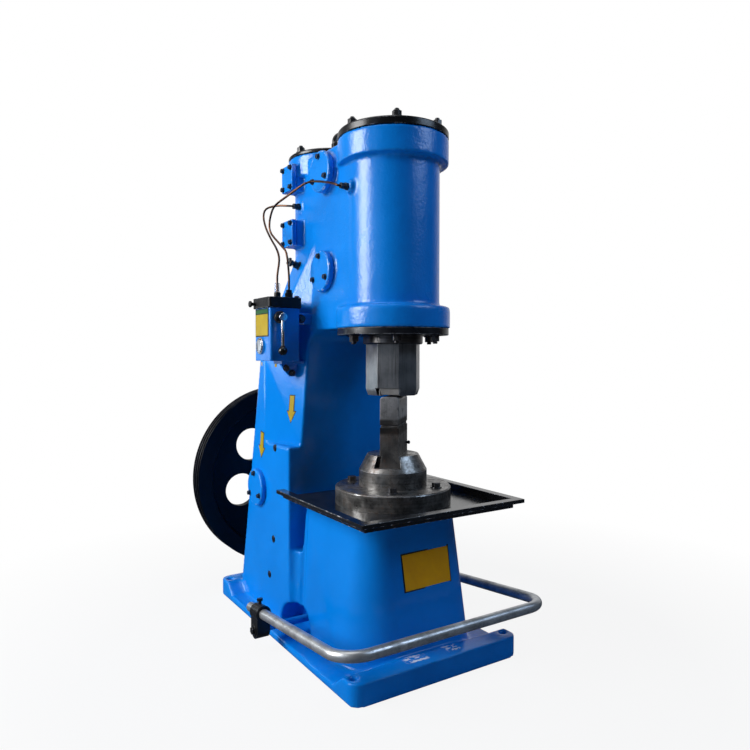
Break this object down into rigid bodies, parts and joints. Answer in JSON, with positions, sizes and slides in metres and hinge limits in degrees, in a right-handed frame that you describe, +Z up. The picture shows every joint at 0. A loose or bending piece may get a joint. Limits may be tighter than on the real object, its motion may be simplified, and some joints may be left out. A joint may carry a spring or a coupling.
{
  "type": "pneumatic forging hammer",
  "caption": "Self-contained air forging hammer: leaning column with ram and pump cylinders, guided octagonal ram, dies on an anvil block in a tray, treadle loop, flywheel and oil pump.",
  "frame": {"origin": "floor point straight under the ram's axis", "axes": "+Z up, -Y towards the operator, +X to the operator's right"},
  "size_m": [0.585, 0.952, 1.3],
  "materials": {
    "blue_paint": "gloss enamel over a casting",
    "black_paint": "black enamel",
    "worn_steel": "bare, worn and lightly rusted",
    "copper": "drawn tube",
    "clear_glass": "clear"
  },
  "bodies": {
    "frame": {"base_plate": "blue_paint", "anvil_pedestal": "blue_paint", "column": "blue_paint", "cylinder_block": "blue_paint", "front_cylinder_cap": "black_paint", "rear_cylinder_cap": "black_paint", "lifting_eye": "black_paint", "gland_plate": "black_paint", "gland_ring": "black_paint", "upper_valve_cover_left": "blue_paint", "lower_valve_cover_left": "blue_paint", "upper_valve_cover_right": "blue_paint", "lower_valve_cover_right": "blue_paint", "upper_port_cover_left": "blue_paint", "lower_port_cover_left": "blue_paint", "upper_port_cover_right": "blue_paint", "lower_port_cover_right": "blue_paint", "crank_cover_left": "blue_paint", "crank_cover_right": "blue_paint", "anvil_block": "worn_steel", "lower_die": "worn_steel", "lower_die_key": "worn_steel", "tray_floor": "black_paint", "tray_rim": "black_paint", "lubricator_box": "blue_paint", "lubricator_lid": "black_paint", "lubricator_bracket": "blue_paint", "sight_glass": "clear_glass", "front_oil_fitting": "copper", "rear_oil_fitting": "copper", "front_oil_line": "copper", "rear_oil_line": "copper", "bearing_housing": "blue_paint"},
    "ram": {"ram": "worn_steel", "upper_die": "worn_steel", "upper_die_key": "worn_steel"},
    "flywheel": {"flywheel": "black_paint", "crankshaft": "worn_steel"},
    "treadle": {"treadle_shaft": "worn_steel", "treadle_bar": "worn_steel", "treadle_clamp_left": "black_paint", "treadle_clamp_right": "black_paint"},
    "oil_lever": {"lubricator_lever": "worn_steel"}
  },
  "joints": [
    {"name": "ram_slide", "type": "slide", "parent": "frame", "child": "ram", "axis": [0, 0, 1], "range_m": [0, 0.112]},
    {"name": "flywheel_spin", "type": "hinge", "parent": "frame", "child": "flywheel", "pos_m": [0, 0.645, 0.328], "axis": [0, 1, 0], "continuous": true},
    {"name": "treadle_press", "type": "hinge", "parent": "frame", "child": "treadle", "pos_m": [0, 0.162, 0.05], "axis": [1, 0, 0], "range_deg": [0, 7], "stiffness_Nm_per_rad": 90, "springref_deg": -20.05},
    {"name": "oil_lever_turn", "type": "hinge", "parent": "frame", "child": "oil_lever", "pos_m": [-0.215, 0.155, 0.798], "axis": [0, 1, 0], "range_deg": [-30, 120]}
  ]
}
